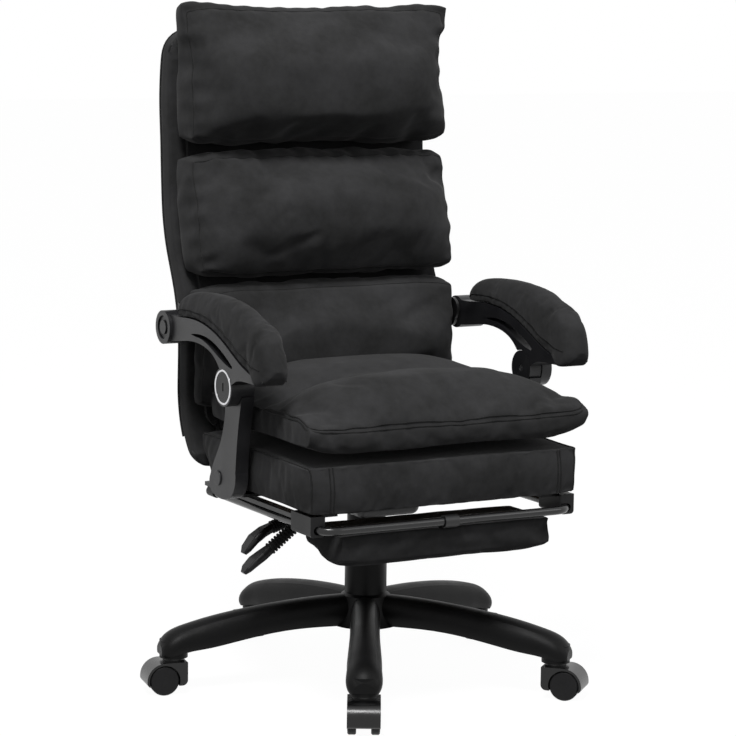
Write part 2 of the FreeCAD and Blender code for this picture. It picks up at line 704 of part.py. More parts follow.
def back_hinge_plate():
    """Plate in the back that turns on the seat's hinge pin."""
    y, z = RECLINE_PIVOT
    outer = HINGE_X - SIDE_PLAY
    plate = side_plate([
        (y - HINGE_BOSS_R, z),
        (y, z - HINGE_BOSS_R, y + HINGE_BOSS_R, z),
        (y + 17, z + 45),
        (y + 20, z + 108),
        (y + 8, z + 108),
        (y + 4, z + 60),
        (y - 8, z + 25),
    ], outer - HINGE_THICK, outer)
    return plate.cut(pin_x(HINGE_PIN_R + RUN_FIT, outer - 20, outer + 20, RECLINE_PIVOT))


def back_arm_bracket():
    """Ear on the side of the back, with the pin on which the armrest's rear end rides."""
    y, z = BACK_PIVOT
    ear = side_plate([
        (y - 16, z - 10),
        (y - 4, z - 24, y + 12, z - 20),
        (y + 58, z - 34),
        (y + 58, z + 34),
        (y + 12, z + 20),
        (y - 22, z + 14, y - 16, z - 10),
    ], SHELL_HALF, SHELL_HALF + 5)
    pin = pin_x(BACK_PIN_R, SHELL_HALF + 5, KNUCKLE_OUTER - 12, BACK_PIVOT)
    return ear.fuse(pin)


# Armrests, made on the +X side

def arm_post():
    """Post that leans forward to the armrest and flares out like a boot at the seat."""
    body = side_plate([
        (-36, 520),
        [(-31, 470), (-20, 440), (5, 402), (20, 376)],
        (21, 356, 2, 345),
        (-30, 342, -56, 350),
        (-68, 362, -74, 392),
        [(-78, 432), (-84, 470), (-96, 520)],
    ], ARM_INNER, POST_OUTER)
    body = body.fuse(pin_x(POST_KNUCKLE_R, ARM_INNER, POST_OUTER - SIDE_PLAY / 2, POST_PIVOT))
    body = body.cut(pin_x(DISC_R + 1.0, POST_OUTER - SIDE_PLAY / 2, POST_OUTER + 20, POST_PIVOT))
    body = body.cut(pin_x(POST_PIN_R + RUN_FIT, ARM_INNER - 5, POST_OUTER + 5, POST_PIVOT))
    body = body.cut(pin_x(SEAT_PIN_R + RUN_FIT, ARM_INNER - 5, POST_OUTER + 5, SEAT_PIVOT))
    return body


def arm_post_cap():
    """Press-in cap over the lower pivot."""
    cap = pin_x(12.5, POST_OUTER, POST_OUTER + 2.5, SEAT_PIVOT)
    return round_edges(cap, 1.5, lambda e: e.BoundBox.XMin > POST_OUTER + 2)


ARM_TOP_EDGE = [(106, 631), (51, 633), (1, 628), (-44, 616), (-93, 595), (-129, 579), (-173, 567),
                (-205, 567)]


def arm_frame():
    """Moulded frame: rear knuckle, two strands with a slim slot between them, and the front toe."""
    k_y, k_z = BACK_PIVOT
    body = side_plate([
        (k_y - 2, k_z + 24),
        ARM_TOP_EDGE,
        (-209, 564, -207, 560),
        [(-195, 556), (-176, 554), (-147, 554), (-112, 550)],
        (-92, 540),
        (-50, 566),
        [(-25, 584), (5, 593), (55, 596), (91, 592)],
        (k_y - 2, k_z - 24),
    ], ARM_INNER, ARM_OUTER)
    slot = side_plate([
        (57, 607.5),
        [(21, 611), (-18, 607), (-55, 595), (-85, 581), (-97, 574)],
        (-99, 571, -96, 569),
        [(-70, 575), (-33, 588.5), (1, 600.5), (36, 605)],
    ], ARM_INNER - 5, ARM_OUTER + 5)
    body = body.cut(slot)
    body = body.fuse(pin_x(KNUCKLE_R, ARM_INNER, KNUCKLE_OUTER, BACK_PIVOT))
    body = body.cut(pin_x(BACK_PIN_R + OPEN_PIVOT_PLAY, ARM_INNER - 5, KNUCKLE_OUTER - 8, BACK_PIVOT))
    body = body.cut(pin_x(POST_KNUCKLE_R + 1.2, ARM_INNER - 5, POST_OUTER, POST_PIVOT))
    body = body.fuse(pin_x(DISC_R, POST_OUTER + SIDE_PLAY / 2, ARM_OUTER, POST_PIVOT))
    recess = pin_x(DISC_R - 3, ARM_OUTER - 3, ARM_OUTER + 5, POST_PIVOT)
    body = body.cut(recess)
    groove = pin_x(20, KNUCKLE_OUTER - 3, KNUCKLE_OUTER + 5, BACK_PIVOT)
    body = body.cut(groove.cut(pin_x(12, KNUCKLE_OUTER - 5, KNUCKLE_OUTER + 5, BACK_PIVOT)))
    return body.cut(pin_x(POST_PIN_R, ARM_INNER - 5, ARM_OUTER - 3, POST_PIVOT))


def pivot_disc():
    """Flat cover disc in the recess of the armrest's pivot, with a slot for a coin or driver."""
    disc = pin_x(DISC_R - 6.5, ARM_OUTER - 3, ARM_OUTER, POST_PIVOT)
    slot = box(ARM_OUTER - 1.5, ARM_OUTER + 1, POST_PIVOT[0] - 2, POST_PIVOT[0] + 2,
               POST_PIVOT[1] - 7, POST_PIVOT[1] + 7)
    return disc.cut(slot)


def pivot_ring():
    """Bright trim ring round the cover disc."""
    ring = pin_x(DISC_R - 3, ARM_OUTER - 3, ARM_OUTER + 1.2, POST_PIVOT)
    ring = ring.cut(pin_x(DISC_R - 6.5, ARM_OUTER - 5, ARM_OUTER + 5, POST_PIVOT))
    return ring.makeChamfer(0.8, [edge for edge in ring.Edges if edge.BoundBox.XMin > ARM_OUTER + 1])


def pivot_bolt():
    return pin_x(POST_PIN_R, ARM_INNER + 1, ARM_OUTER - 3, POST_PIVOT)


def arm_pad():
    """Padded armrest: a crowned loft along the frame's curved top edge."""
    lift = 0.7
    stations = (
        # bottom point, top point, half width
        ((122, 632), (117, 655), 17),
        ((106, 631), (104, 667), 23),
        ((51, 633), (48, 677), 25),
        ((1, 628), (-9, 681), 25),
        ((-44, 616), (-66, 679), 25),
        ((-93, 595), (-122, 671), 25),
        ((-129, 579), (-165, 656), 25),
        ((-173, 567), (-203, 634), 24),
        ((-205, 567), (-228, 607), 20),
        ((-222, 572), (-236, 590), 12),
    )
    wires = []
    for (y0, z0), (y1, z1), half in stations:
        z0 += lift
        height = math.hypot(y1 - y0, z1 - z0)
        dy = (y1 - y0) / height
        dz = (z1 - z0) / height
        wires.append(outline([
            (-0.84 * half, 0),
            (0.84 * half, 0),
            (0.98 * half, 0.34 * height, 0.82 * half, 0.72 * height),
            (0, height, -0.82 * half, 0.72 * height),
            (-0.98 * half, 0.34 * height, -0.84 * half, 0),
        ], lambda u, w, y=y0, z=z0, sy=dy, sz=dz: V(ARM_PAD_CENTRE + u, y + w * sy, z + w * sz)))
    return loft(wires)


# Back

REAR_LINE = [(158, 363), (192, 387), (212, 420), (223, 455), (228, 500), (227, 560), (238, 640),
             (266, 705), (287, 765), (298, 830), (303, 920), (305, 1000), (301, 1055), (291, 1105)]


FOOT_ROOM = [(90, 340), (151, 340), (151, 396), (90, 396)]


def back_curve(shift):
    return [(y - shift, z) for y, z in REAR_LINE]


def s_panel(half, rear, front):
    """Panel between two curves in the Y-Z plane, both given from the bottom up."""
    front = front[::-1]
    wire = outline([rear[0], rear[1:], front[0], front[1:]], lambda y, z: V(-half, y, z))
    return Part.Face(wire).extrude(V(2 * half, 0, 0))


def back_shell():
    """Thin upholstered panel with an S-shaped side and rounded corners. Its foot is cut back in
    front, clear of the seat when the back reclines."""
    def runs_back(edge):
        return edge.BoundBox.YLength > 100

    blank = box(-SHELL_HALF, SHELL_HALF, 50, 400, SHELL_BOTTOM, SHELL_TOP)
    blank = round_edges(blank, 42, lambda e: runs_back(e) and e.BoundBox.ZMin > SHELL_TOP - 1)
    blank = round_edges(blank, 28, lambda e: runs_back(e) and e.BoundBox.ZMax < SHELL_BOTTOM + 1)
    body = s_panel(SHELL_HALF, back_curve(0), back_curve(SHELL_THICK)).common(blank)
    rear = max((face for face in body.Faces if face.Area > SHELL_HALF * SHELL_TOP),
               key=lambda face: face.CenterOfMass.y)
    body = body.makeFillet(SHELL_EDGE_R, rear.Edges)
    body = body.cut(side_plate(FOOT_ROOM, -SHELL_HALF - 5, SHELL_HALF + 5))
    return body.cut(Part.makeCompound(hinge_rooms()))


def hinge_rooms():
    """Slots for the two hinge plates on each side."""
    y, z = RECLINE_PIVOT
    around = HINGE_BOSS_R + 2
    inner = HINGE_X - 2 * SIDE_PLAY - HINGE_THICK
    low = box(inner, HINGE_X + HINGE_THICK + SIDE_PLAY, 100, y + around, SHELL_BOTTOM - 10, z + around)
    swing = box(inner, HINGE_X + HINGE_THICK + SIDE_PLAY, y, y + HINGE_SWING, SHELL_BOTTOM - 10, z)
    high = box(inner, HINGE_X, 100, y + 22, z, z + 110)
    return both_sides(low.fuse(swing)) + both_sides(high)


def back_board():
    """Curved plywood panel between the shell and the cushions."""
    blank = box(-BACK_BOARD_HALF, BACK_BOARD_HALF, 50, 400, BACK_BOARD_BOTTOM, BACK_BOARD_TOP)
    blank = round_edges(blank, 30, lambda e: e.BoundBox.YLength > 100)
    rear = SHELL_THICK + SOFT_GAP
    body = s_panel(BACK_BOARD_HALF, back_curve(rear), back_curve(rear + BACK_BOARD_THICK)).common(blank)
    return body.cut(Part.makeCompound(hinge_rooms()))


def back_pad(rear, seam_low, seam_high, crown):
    """Crowned pad on the board. The rear is three places from the bottom up, the seams are the
    front corners, and crown is how far the middle stands forward of them."""
    def path_at(share):
        swell = 1 - share ** 4
        shrink = 8 * share ** 8
        (y0, z0), (y1, z1), (y2, z2) = rear
        (sy0, sz0), (sy1, sz1) = seam_low, seam_high
        z0, sz0 = z0 + shrink, sz0 + shrink
        z2, sz1 = z2 - shrink, sz1 - shrink
        out = 3 + (crown - 3) * swell
        return [
            (y0, z0),
            [(y1, z1), (y2, z2)],
            (0.5 * (y2 + sy1), 0.5 * (z2 + sz1) + 3 + 5 * swell, sy1, sz1),
            [
                (sy1 - 0.6 * out, sz1 - 0.12 * (sz1 - sz0)),
                (sy1 + 0.35 * (sy0 - sy1) - out, sz1 - 0.35 * (sz1 - sz0)),
                (sy1 + 0.65 * (sy0 - sy1) - out, sz1 - 0.65 * (sz1 - sz0)),
                (sy0 - 0.6 * out, sz0 + 0.12 * (sz1 - sz0)),
                (sy0, sz0),
            ],
            (0.5 * (y0 + sy0), 0.5 * (z0 + sz0) - 3 - 5 * swell, y0, z0),
        ]

    board_face = SHELL_THICK + BACK_BOARD_THICK + 2 * SOFT_GAP
    behind = s_panel(BACK_HALF + 20, back_curve(board_face - 60), back_curve(board_face))
    return cushion(BACK_HALF, path_at).cut(behind)


def lumbar_cushion():
    return back_pad([(178, 464), (182, 590), (196, 674)], (140, 468), (138, 672), 50)


def back_cushion():
    return back_pad([(212, 692), (240, 775), (252, 898)], (140, 694), (180, 898), 48)


def headrest_cushion():
    return back_pad([(255, 924), (256, 1000), (240, 1138)], (178, 924), (198, 1140), 56)


def main():
    os.makedirs("parts", exist_ok=True)
    save("star_base", star_base())
    save("caster_stems", *[turned_to_leg(caster_stem(), index) for index in range(LEG_COUNT)])
    wheels = [caster_wheel(side) for side in SIDES]
    for index in range(LEG_COUNT):
        number = index + 1
        save(f"caster_hood_{number}", turned_to_leg(caster_hood(), index))
        save(f"caster_axle_{number}", turned_to_leg(caster_axle(), index))
        save(f"caster_wheels_{number}", *[turned_to_leg(wheel, index) for wheel in wheels])
    save("gas_column_tube", column_tube())
    save("column_cover_lower", tube(LOWER_COVER_R, COVER_WALL, HUB_TOP, LOWER_COVER_TOP))
    save("gas_column_piston", Part.makeCylinder(PISTON_R, PISTON_TOP - PISTON_BOTTOM, V(0, 0, PISTON_BOTTOM)))
    save("column_cover_upper", upper_cover())
    save("seat_mechanism", mechanism())
    for name, lever in (("height_lever", HEIGHT_LEVER), ("recline_lever", RECLINE_LEVER)):
        save(f"{name}_rod", lever_rod(lever))
        save(f"{name}_sleeve", lever_sleeve(lever))
        save(f"{name}_grip", lever_grip(lever))
    save("seat_board", seat_board())
    save("seat_box_cushion", seat_box_cushion())
    save("seat_top_cushion", seat_top_cushion())
    save("footrest_rails", *both_sides(rail()))
    save("footrest_guides", *both_sides(guide_block()), *both_sides(rear_hanger()))
    save("seat_arm_brackets", *both_sides(seat_arm_bracket()))
    save("seat_hinge_plates", *both_sides(seat_hinge_plate()))
    save("footrest_frame", footrest_tube(TUBE_R))
    save("footrest_sliders", *both_sides(footrest_slider()))
    save("footrest_clip", footrest_clip())
    save("footrest_board", footrest_board())
    save("footrest_pad", footrest_pad())
    save("back_shell", back_shell())
    save("back_board", back_board())
    save("headrest_cushion", headrest_cushion())
    save("back_cushion", back_cushion())
    save("lumbar_cushion", lumbar_cushion())
    save("back_brackets", *both_sides(back_hinge_plate()), *both_sides(back_arm_bracket()))
    for name, make in (
        ("arm_post", arm_post),
        ("arm_post_cap", arm_post_cap),
        ("arm_frame", arm_frame),
        ("arm_pad", arm_pad),
        ("pivot_disc", pivot_disc),
        ("pivot_ring", pivot_ring),
        ("pivot_bolt", pivot_bolt),
    ):
        piece = make()
        save(f"{name}_left", piece)
        save(f"{name}_right", mirrored(piece))


main()
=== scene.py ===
# %% [markdown]
# Reclining office chair with footrest.
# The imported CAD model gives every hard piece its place. This lesson dresses it: the cushions are
# stuffed with a cloth simulation, the seams are sewn on, and each plastic, rubber and metal gets
# its own finish. We start by loading the model, because everything else is measured from it.

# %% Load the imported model
import json
import math

import bpy
import numpy as np
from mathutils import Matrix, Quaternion, Vector, noise
from mathutils.bvhtree import BVHTree


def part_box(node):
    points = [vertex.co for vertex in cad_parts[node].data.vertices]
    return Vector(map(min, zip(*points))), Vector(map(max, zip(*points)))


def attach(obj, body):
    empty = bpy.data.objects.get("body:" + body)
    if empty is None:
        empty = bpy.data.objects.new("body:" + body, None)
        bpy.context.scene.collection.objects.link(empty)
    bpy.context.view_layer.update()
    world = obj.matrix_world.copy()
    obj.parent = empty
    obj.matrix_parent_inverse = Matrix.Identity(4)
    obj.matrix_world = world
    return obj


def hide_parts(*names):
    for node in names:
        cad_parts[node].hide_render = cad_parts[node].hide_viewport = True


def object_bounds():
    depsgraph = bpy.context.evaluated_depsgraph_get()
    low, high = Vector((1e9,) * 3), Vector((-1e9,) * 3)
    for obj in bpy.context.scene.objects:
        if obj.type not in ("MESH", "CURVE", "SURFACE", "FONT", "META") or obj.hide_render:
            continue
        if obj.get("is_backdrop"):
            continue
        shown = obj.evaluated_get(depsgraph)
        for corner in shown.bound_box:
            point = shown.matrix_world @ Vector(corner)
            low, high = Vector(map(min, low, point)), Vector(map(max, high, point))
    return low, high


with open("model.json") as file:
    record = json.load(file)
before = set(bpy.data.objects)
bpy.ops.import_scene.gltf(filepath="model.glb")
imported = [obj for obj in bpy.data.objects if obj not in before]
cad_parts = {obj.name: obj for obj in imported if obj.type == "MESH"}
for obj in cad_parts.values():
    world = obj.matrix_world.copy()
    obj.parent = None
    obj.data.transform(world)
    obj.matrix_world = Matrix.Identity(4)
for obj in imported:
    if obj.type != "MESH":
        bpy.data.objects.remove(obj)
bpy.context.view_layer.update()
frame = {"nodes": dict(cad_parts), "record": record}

# %% [markdown]
# Three small helpers serve the whole lesson: one selects a single piece, one reads its points
# and one writes them back. Operators act on whatever is selected, so selecting comes first.

# %% Helpers for selecting and for points
def only(piece):
    """Select this piece alone and make it the active one."""
    bpy.ops.object.select_all(action="DESELECT")
    piece.select_set(True)
    bpy.context.view_layer.objects.active = piece


def points_of(piece, what="co"):
    flat = np.zeros(len(piece.data.vertices) * 3)
    piece.data.vertices.foreach_get(what, flat)
    return flat.reshape(-1, 3)


def set_points(piece, points):
    piece.data.vertices.foreach_set("co", points.ravel())
    piece.data.update()


# %% [markdown]
# The camera stands in front of the chair, on the sitter's right, just above the headrest, and
# looks down by eight degrees. A long lens from almost five metres keeps the perspective mild, as
# in a catalogue picture.

# %% Camera
camera_data = bpy.data.cameras.new("camera")
camera = bpy.data.objects.new("camera", camera_data)
bpy.context.scene.collection.objects.link(camera)
bpy.context.scene.camera = camera
AROUND = math.radians(-28.9512)   # from straight in front, towards the sitter's right
DOWN = 0.140665                   # radians below the horizon
ROLL = 0.01313
DISTANCE = 4.7527
EYE_HEIGHT = 1.21014
camera.location = (math.sin(AROUND) * DISTANCE, -math.cos(AROUND) * DISTANCE, EYE_HEIGHT)
level = math.cos(DOWN)
ahead = Vector((-math.sin(AROUND) * level, math.cos(AROUND) * level, -math.sin(DOWN)))
camera.rotation_mode = "QUATERNION"
camera.rotation_quaternion = ahead.to_track_quat("-Z", "Y") @ Quaternion((0, 0, 1), ROLL)
camera_data.sensor_width = 36
camera_data.lens = 138.25
camera_data.shift_x = -0.0005
camera_data.shift_y = 0.0029
print("camera at", [round(v, 3) for v in camera.location])

# %% [markdown]
# Colours are written as they look on a screen and made linear once, here. One small function
# adds a shader node and fills its sockets, so that each finish below reads as a short recipe.

# %% Helpers for materials
def colour(screen):
    """A linear RGBA colour from a screen colour such as '303030'."""
    parts = [int(screen[i:i + 2], 16) / 255 for i in (0, 2, 4)]
    return (*[c / 12.92 if c < 0.04045 else ((c + 0.055) / 1.055) ** 2.4 for c in parts], 1)


def add(tree, kind, links=(), **sockets):
    """A new node. Sockets are filled by name, and links are (socket, output) pairs."""
    node = tree.nodes.new("ShaderNode" + kind)
    for name, value in sockets.items():
        spot = name.replace("_", " ")
        if spot in node.inputs:
            node.inputs[spot].default_value = value
        else:
            setattr(node, name, value)
    for spot, output in links:
        tree.links.new(output, node.inputs[spot])
    return node


def new_finish(name, **sockets):
    """A material with one Principled shader, whose fixed values are given by socket name."""
    finish = bpy.data.materials.new(name)
    finish.use_nodes = True
    shader = finish.node_tree.nodes["Principled BSDF"]
    for spot, value in sockets.items():
        shader.inputs[spot.replace("_", " ")].default_value = value
    return finish, finish.node_tree, shader


def shades(tree, fac, dark, light, low=0.3, high=0.7):
    """A ramp between two screen colours."""
    ramp = add(tree, "ValToRGB", [("Fac", fac)])
    ramp.color_ramp.elements[0].position = low
    ramp.color_ramp.elements[1].position = high
    ramp.color_ramp.elements[0].color = colour(dark)
    ramp.color_ramp.elements[1].color = colour(light)
    return ramp.outputs["Color"]


# %% [markdown]
# The cushions are covered in charcoal brushed microfibre. Its nap lies one way here and another
# there, which clouds the colour over a hand's width.
# Close up it is a fine felt. Three noises make this: 90 mm clouds and 12 mm mottling for the
# colour, and a 0.7 mm felt for the bump. A little sheen gives the soft pale rim of a pile.

# %% Microfibre
microfibre, tree, shader = new_finish(
    "charcoal_microfibre", Roughness=0.95, Sheen_Weight=0.12, Sheen_Roughness=0.5,
    Sheen_Tint=colour("C8C8C8"), Specular_IOR_Level=0.08)
where = [("Vector", add(tree, "TexCoord").outputs["Object"])]
clouds = add(tree, "TexNoise", where, Scale=1 / 0.09, Detail=3, Roughness=0.55).outputs["Fac"]
mottle = add(tree, "TexNoise", where, Scale=1 / 0.012, Detail=4, Roughness=0.6).outputs["Fac"]
felt = add(tree, "TexNoise", where, Scale=1 / 0.0007, Detail=2, Roughness=0.6).outputs["Fac"]
both = add(tree, "Math", [(0, mottle), (2, clouds)], operation="MULTIPLY_ADD")
both.inputs[1].default_value = 0.35     # how much the mottling adds to the clouds
nap = shades(tree, both.outputs[0], "2B2B2B", "3E3E3F", 0.45, 0.95)
tree.links.new(nap, shader.inputs["Base Color"])
soft = add(tree, "Bump", [("Height", mottle)], Strength=0.22, Distance=0.0012)
fine = add(tree, "Bump", [("Height", felt), ("Normal", soft.outputs["Normal"])],
           Strength=0.35, Distance=0.0003)
tree.links.new(fine.outputs["Normal"], shader.inputs["Normal"])

# %% [markdown]
# Thread and piping are the same charcoal, a shade darker and smoother, so that seams read as
# thin lines. The twist of the thread is a fine wave along it.

# %% Thread
thread, tree, shader = new_finish("charcoal_thread", Roughness=0.75, Specular_IOR_Level=0.15)
where = add(tree, "TexCoord").outputs["Object"]
twist = add(tree, "TexNoise", [("Vector", where)], Scale=1 / 0.0015, Detail=1).outputs["Fac"]
tree.links.new(shades(tree, twist, "1A1A1A", "2A2A2A"), shader.inputs["Base Color"])
tree.links.new(add(tree, "Bump", [("Height", twist)], Strength=0.5, Distance=0.0004).outputs["Normal"],
               shader.inputs["Normal"])

# %% [markdown]
# The moulded plastics differ in how dark, how glossy and how coarsely grained they are. One
# recipe makes them all: a fine spark-eroded grain as bump, and a slow drift of colour that
# stands for handling and dust.

# %% Moulded plastics
def moulded(name, dark, light, rough, grain, depth, shine=0.2):
    """Injection moulded nylon. grain is the size of its texture and depth its height, in metres;
    shine is how strongly it reflects."""
    finish, tree, shader = new_finish(name, Roughness=rough, Specular_IOR_Level=shine)
    where = add(tree, "TexCoord").outputs["Object"]
    drift = add(tree, "TexNoise", [("Vector", where)], Scale=1 / 0.05, Detail=4).outputs["Fac"]
    pores = add(tree, "TexNoise", [("Vector", where)], Scale=1 / grain, Detail=2).outputs["Fac"]
    tree.links.new(shades(tree, drift, dark, light), shader.inputs["Base Color"])
    spread = add(tree, "MapRange", [("Value", drift)], From_Min=0.3, From_Max=0.7,
                 To_Min=rough - 0.04, To_Max=rough + 0.06)
    tree.links.new(spread.outputs[0], shader.inputs["Roughness"])
    tree.links.new(add(tree, "Bump", [("Height", pores)], Strength=0.4, Distance=depth).outputs["Normal"],
                   shader.inputs["Normal"])
    return finish


FINISHES = {
    "suede_fabric": microfibre,
    # the legs of the base: dull, deep black and grained
    "base_nylon": moulded("textured_nylon", "050505", "0B0B0C", 0.44, 0.0009, 0.0004, 0.14),
    # armrest frames and posts: a satin face that catches the light softly
    "arm_nylon": moulded("satin_nylon", "161618", "222224", 0.38, 0.0006, 0.0002, 0.35),
    # caster hoods: polished, with small highlights
    "caster_nylon": moulded("gloss_nylon", "0A0A0A", "121213", 0.24, 0.002, 0.0001, 0.4),
    # wheels: greyer, from scuffing
    "wheel_nylon": moulded("worn_nylon", "111112", "202021", 0.5, 0.0012, 0.0003),
    # telescopic covers of the column: the darkest of all
    "cover_plastic": moulded("column_plastic", "040404", "080809", 0.36, 0.001, 0.0002, 0.1),
    "guide_plastic": moulded("slide_plastic", "111112", "1B1B1C", 0.42, 0.001, 0.0002),
    "grip_plastic": moulded("grip_plastic", "101011", "1A1A1B", 0.4, 0.0008, 0.0003),
    "disc_plastic": moulded("disc_plastic", "0B0B0C", "131314", 0.3, 0.001, 0.0001),
    # ribbed sleeves of the levers: matt rubber
    "rubber_black": moulded("ribbed_rubber", "101010", "1C1C1C", 0.7, 0.0006, 0.0004),
}
print(len(FINISHES), "soft and moulded finishes")

# %% [markdown]
# Painted steel is smoother than plastic, with the faint orange peel of powder coat. Bright
# steel has fine scratches along it, and the chrome of the rings is almost a mirror.

# %% Metals
def metal(name, dark, light, rough, metallic, peel, depth):
    """Painted (metallic 0) or bare metal. peel is the size of its ripple, depth its height."""
    finish, tree, shader = new_finish(name, Metallic=metallic)
    where = add(tree, "TexCoord").outputs["Object"]
    skin = add(tree, "TexNoise", [("Vector", where)], Scale=1 / peel, Detail=3).outputs["Fac"]
    tree.links.new(shades(tree, skin, dark, light), shader.inputs["Base Color"])
    spread = add(tree, "MapRange", [("Value", skin)], From_Min=0.3, From_Max=0.7,
                 To_Min=rough * 0.85, To_Max=rough * 1.25)
    tree.links.new(spread.outputs[0], shader.inputs["Roughness"])
    tree.links.new(add(tree, "Bump", [("Height", skin)], Strength=0.3, Distance=depth).outputs["Normal"],
                   shader.inputs["Normal"])
    return finish


FINISHES["column_black"] = metal("powder_coat", "040405", "080809", 0.35, 0.0, 0.002, 0.0002)
FINISHES["steel_black"] = metal("black_steel", "0C0C0D", "151516", 0.42, 0.0, 0.0015, 0.0002)
FINISHES["tube_black"] = metal("tube_enamel", "0A0A0B", "101011", 0.22, 0.0, 0.004, 0.0001)
FINISHES["steel"] = metal("bright_steel", "8E8E90", "B4B4B6", 0.28, 1.0, 0.0008, 0.0001)
FINISHES["chrome_trim"] = metal("polished_trim", "C9C9CC", "DEDEE0", 0.1, 1.0, 0.006, 0.00002)

# %% [markdown]
# The boards inside are birch plywood. Wood is a wave stretched along the grain and broken up by
# noise. Its scale is the 12 mm from one growth line to the next.

# %% Plywood
plywood, tree, shader = new_finish("birch_plywood", Roughness=0.6)
where = add(tree, "TexCoord").outputs["Object"]
rings = add(tree, "TexWave", [("Vector", where)], Scale=1 / 0.012, Distortion=3, Detail=3)
veneer = shades(tree, rings.outputs["Fac"], "9C7B52", "C7A676", 0.1, 0.9)
tree.links.new(veneer, shader.inputs["Base Color"])
raised = add(tree, "Bump", [("Height", rings.outputs["Fac"])], Strength=0.2, Distance=0.0004)
tree.links.new(raised.outputs["Normal"], shader.inputs["Normal"])
FINISHES["plywood"] = plywood

# %% [markdown]
# Each CAD node names a material slot in the record. The finish goes into the slots that its
# mesh already has, so the shape isn't touched.

# %% Dress the CAD nodes
for part in frame["record"]["subparts"]:
    node = frame["nodes"][part["node"]]
    if not node.material_slots:
        node.data.materials.append(None)
    for place in node.material_slots:
        place.material = FINISHES[part["material_slot"]]
print(len(frame["nodes"]), "nodes dressed")

# %% [markdown]
# The room is a white floor under an even sky. The camera and mirror-like reflections see white,
# and the lamps stay at a plain level. Most of the white that the camera sees on the floor is the
# floor's own light, and the rest is lit paper, so a faint shadow under the casters stays. To the
# light that bounces back up the paper is dark grey, which keeps the undersides near black.

# %% Floor and sky
bpy.ops.object.select_all(action="DESELECT")
bpy.ops.mesh.primitive_plane_add(size=40, location=(0, 0, -0.0002))
floor = bpy.context.active_object
floor.name = "floor"
floor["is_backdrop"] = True
paper = bpy.data.materials.new("white_paper")
paper.use_nodes = True
tree = paper.node_tree
tree.nodes.remove(tree.nodes["Principled BSDF"])
bright = add(tree, "Emission", Color=(1, 1, 1, 1), Strength=1.05)
ray = add(tree, "LightPath")
seen = add(tree, "Math", [(0, ray.outputs["Is Camera Ray"]), (1, ray.outputs["Is Glossy Ray"])],
           operation="MAXIMUM")
share = add(tree, "Math", [(0, seen.outputs[0])], operation="MULTIPLY")
share.inputs[1].default_value = 0.92    # the floor's own light, as a part of what is seen
tint = add(tree, "Mix", [(0, seen.outputs[0])], data_type="RGBA")
tint.inputs[6].default_value = (0.10, 0.10, 0.10, 1)    # to bounced light
tint.inputs[7].default_value = (0.9, 0.9, 0.9, 1)       # to the camera
matt = add(tree, "BsdfDiffuse", [("Color", tint.outputs[2])])
mixed = add(tree, "MixShader",
            [(0, share.outputs[0]), (1, matt.outputs[0]), (2, bright.outputs[0])])
tree.links.new(mixed.outputs[0], tree.nodes["Material Output"].inputs["Surface"])
floor.data.materials.append(paper)

sky = bpy.data.worlds.new("studio")
bpy.context.scene.world = sky
sky.use_nodes = True
tree = sky.node_tree
ray = add(tree, "LightPath")
seen = add(tree, "Math", [(0, ray.outputs["Is Camera Ray"]), (1, ray.outputs["Is Glossy Ray"])],
           operation="MAXIMUM")
seen = add(tree, "Math", [(0, seen.outputs[0]), (1, ray.outputs["Is Transmission Ray"])],
           operation="MAXIMUM")
mix = add(tree, "Mix", data_type="RGBA")
mix.inputs[6].default_value = (0.35, 0.35, 0.353, 1)    # what lights the chair
mix.inputs[7].default_value = (1, 1, 1, 1)              # what the camera sees
tree.links.new(seen.outputs[0], mix.inputs[0])
tree.links.new(mix.outputs[2], tree.nodes["Background"].inputs["Color"])
print("floor and sky ready")

# %% [markdown]
# Two large soft lamps model the forms: the key from high above the sitter's right shoulder, and
# a weaker fill from the other side. Large lamps give the broad highlights and soft folds that
# fabric needs.

# %% Lamps
AIM = Vector((0, 0, 0.6))    # the middle of the chair


def soft_lamp(name, place, size, watts):
    """A round lamp of a size in metres, turned to the middle of the chair."""
    lamp = bpy.data.lights.new(name, "AREA")
    lamp.shape = "DISK"
    lamp.size = size
    lamp.energy = watts
    holder = bpy.data.objects.new(name, lamp)
    bpy.context.scene.collection.objects.link(holder)
    holder.location = place
    holder.rotation_mode = "QUATERNION"
    holder.rotation_quaternion = (AIM - Vector(place)).to_track_quat("-Z", "Y")


soft_lamp("key", (-1.7, -2.0, 4.2), 1.3, 142)
soft_lamp("fill", (2.6, -3.0, 2.6), 2.0, 22)
bpy.context.scene.view_settings.view_transform = "Standard"

# %% [markdown]
# Every cushion starts from its CAD solid, which has the right size and place. The copy's loose
# triangles are merged, and a voxel remesh turns them into an even net of small squares, which
# is what cloth needs. It then starts a little smaller, because stuffing swells it.

# %% Cover from a CAD solid
def merged_copy(node, name):
    """A copy of a CAD node's form as one closed skin, without its materials."""
    piece = bpy.data.objects.new(name, frame["nodes"][node].data.copy())
    bpy.context.scene.collection.objects.link(piece)
    piece.data.materials.clear()
    only(piece)
    bpy.ops.object.mode_set(mode="EDIT")
    bpy.ops.mesh.select_all(action="SELECT")
    bpy.ops.mesh.remove_doubles(threshold=0.00005)
    bpy.ops.mesh.normals_make_consistent(inside=False)
    bpy.ops.object.mode_set(mode="OBJECT")
    return piece


def cover(node, name, voxel=0.0055, smaller=0.004):
    """An even net over a CAD solid, drawn in by a few millimetres."""
    piece = merged_copy(node, name)
    piece.data.remesh_voxel_size = voxel
    bpy.ops.object.voxel_remesh()
    piece.data.materials.append(microfibre)
    set_points(piece, points_of(piece) - smaller * points_of(piece, "normal"))
    print(name, len(piece.data.vertices), "points")
    return piece


